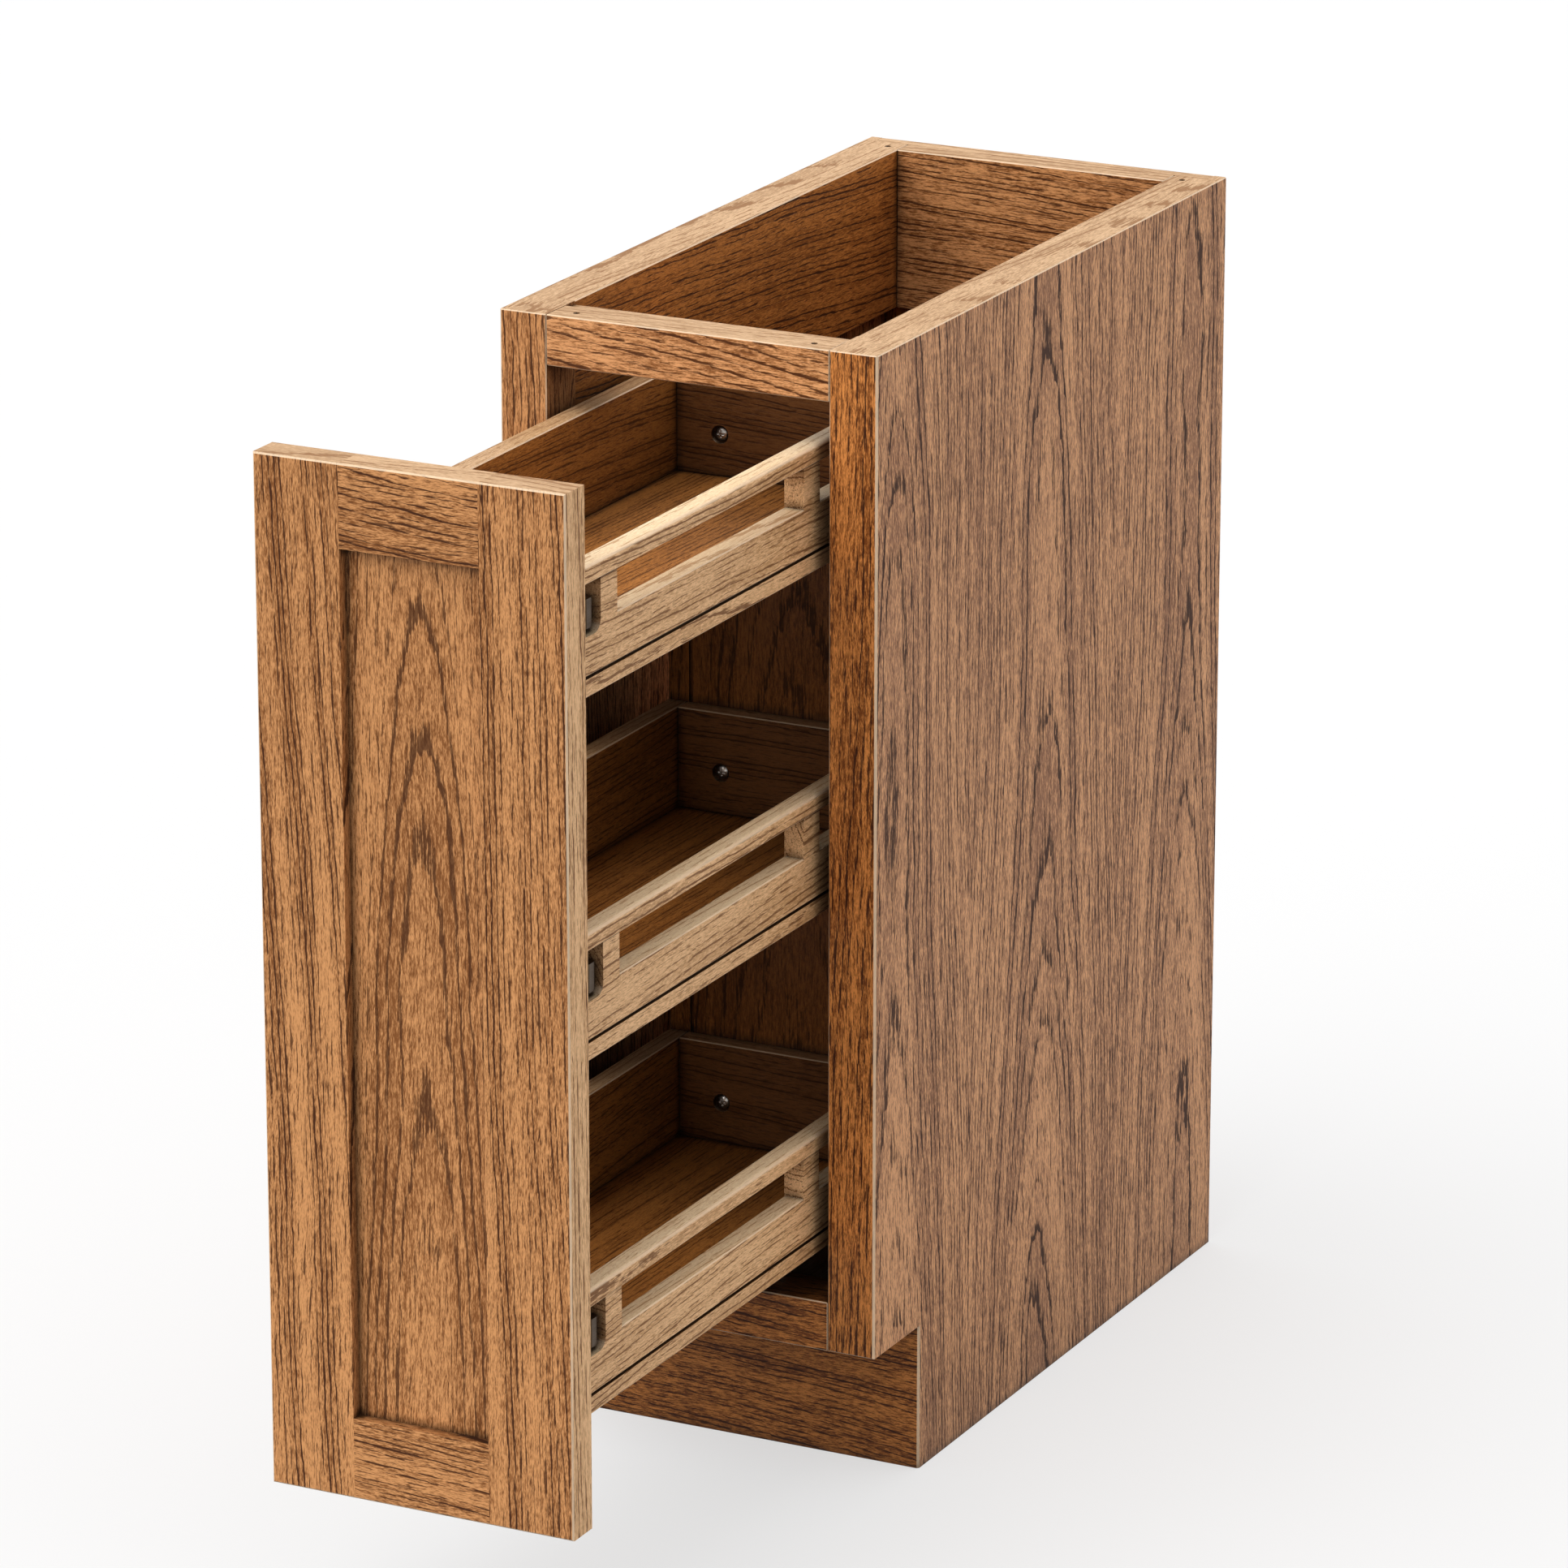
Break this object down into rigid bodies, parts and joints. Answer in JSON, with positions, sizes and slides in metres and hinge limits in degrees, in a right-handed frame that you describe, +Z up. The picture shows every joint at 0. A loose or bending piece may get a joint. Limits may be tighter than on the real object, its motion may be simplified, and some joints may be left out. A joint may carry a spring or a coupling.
{
  "type": "pull-out pantry base cabinet",
  "caption": "Narrow oak base cabinet with a face frame and a recessed toe kick; its frame-and-panel door carries stacked open-sided trays that pull out on telescopic slides.",
  "frame": {"origin": "on the floor, in the middle of the whole footprint with the pull-out standing part way out as in the picture", "axes": "+Z up, +X to the right seen from the front, +Y towards the back; the door faces -Y"},
  "size_m": [0.3048, 1.0182, 0.8763],
  "materials": {
    "oak_front": "stained oak, satin lacquer, grain across or along the member",
    "oak_door": "stained oak, satin lacquer",
    "oak_side": "stained oak veneer on board, satin lacquer, upright grain",
    "oak_inside": "stained oak, satin lacquer",
    "oak_tray": "stained oak, satin lacquer, grain along the tray",
    "dowel_wood": "raw beech",
    "slide_steel": "zinc-plated rolled steel",
    "cage_steel": "bright steel balls in a pressed cage",
    "bracket_steel": "zinc-plated folded sheet",
    "screw_steel": "zinc-plated",
    "bumper_rubber": "soft clear-grey pad"
  },
  "bodies": {
    "cabinet": {"left_side_panel": "oak_side", "right_side_panel": "oak_side", "left_stile": "oak_front", "right_stile": "oak_front", "top_rail": "oak_front", "bottom_rail": "oak_front", "toe_kick": "oak_front", "left_top_side_rail": "oak_inside", "right_top_side_rail": "oak_inside", "hanging_rail": "oak_inside", "back_panel": "oak_inside", "deck": "oak_inside", "deck_cleats": "oak_inside", "rear_base_rail": "oak_inside", "frame_dowels": "dowel_wood", "slide_outer_left": "slide_steel", "slide_outer_right": "slide_steel", "slide_angle_left": "slide_steel", "slide_angle_right": "slide_steel", "angle_screws": "screw_steel"},
    "pull_out": {"door_left_stile": "oak_door", "door_right_stile": "oak_door", "door_top_rail": "oak_door", "door_bottom_rail": "oak_door", "door_panel": "oak_door", "tray_1_floor": "oak_tray", "tray_1_left_side": "oak_tray", "tray_1_right_side": "oak_tray", "tray_1_rail": "oak_tray", "tray_1_front": "oak_tray", "tray_1_back": "oak_tray", "tray_2_floor": "oak_tray", "tray_2_left_side": "oak_tray", "tray_2_right_side": "oak_tray", "tray_2_rail": "oak_tray", "tray_2_front": "oak_tray", "tray_2_back": "oak_tray", "tray_3_floor": "oak_tray", "tray_3_left_side": "oak_tray", "tray_3_right_side": "oak_tray", "tray_3_rail": "oak_tray", "tray_3_front": "oak_tray", "tray_3_back": "oak_tray", "rear_upright": "oak_tray", "runner_beam": "oak_tray", "door_bumpers": "bumper_rubber", "door_brackets": "bracket_steel", "door_screws": "screw_steel", "tray_screws": "screw_steel", "slide_inner_left": "slide_steel", "slide_inner_right": "slide_steel"},
    "left_slide_middle": {"slide_middle_left": "slide_steel"},
    "left_outer_cage": {"outer_ball_cage_left": "cage_steel"},
    "left_inner_cage": {"inner_ball_cage_left": "cage_steel"},
    "right_slide_middle": {"slide_middle_right": "slide_steel"},
    "right_outer_cage": {"outer_ball_cage_right": "cage_steel"},
    "right_inner_cage": {"inner_ball_cage_right": "cage_steel"}
  },
  "joints": [
    {"name": "pull_out_slide", "type": "slide", "parent": "cabinet", "child": "pull_out", "axis": [0, -1, 0], "range_m": [-0.378, 0.13]},
    {"name": "left_slide_middle_slide", "type": "slide", "parent": "cabinet", "child": "left_slide_middle", "axis": [0, -1, 0], "range_m": [-0.1891, 0.0651]},
    {"name": "left_outer_cage_slide", "type": "slide", "parent": "cabinet", "child": "left_outer_cage", "axis": [0, -1, 0], "range_m": [-0.0946, 0.0326]},
    {"name": "left_inner_cage_slide", "type": "slide", "parent": "cabinet", "child": "left_inner_cage", "axis": [0, -1, 0], "range_m": [-0.2836, 0.0976]},
    {"name": "right_slide_middle_slide", "type": "slide", "parent": "cabinet", "child": "right_slide_middle", "axis": [0, -1, 0], "range_m": [-0.1891, 0.0651]},
    {"name": "right_outer_cage_slide", "type": "slide", "parent": "cabinet", "child": "right_outer_cage", "axis": [0, -1, 0], "range_m": [-0.0946, 0.0326]},
    {"name": "right_inner_cage_slide", "type": "slide", "parent": "cabinet", "child": "right_inner_cage", "axis": [0, -1, 0], "range_m": [-0.2836, 0.0976]}
  ],
  "couplings": [
    {"joint": "left_slide_middle_slide", "follows": "pull_out_slide", "ratio": 0.5},
    {"joint": "left_outer_cage_slide", "follows": "pull_out_slide", "ratio": 0.25},
    {"joint": "left_inner_cage_slide", "follows": "pull_out_slide", "ratio": 0.75},
    {"joint": "right_slide_middle_slide", "follows": "pull_out_slide", "ratio": 0.5},
    {"joint": "right_outer_cage_slide", "follows": "pull_out_slide", "ratio": 0.25},
    {"joint": "right_inner_cage_slide", "follows": "pull_out_slide", "ratio": 0.75}
  ]
}
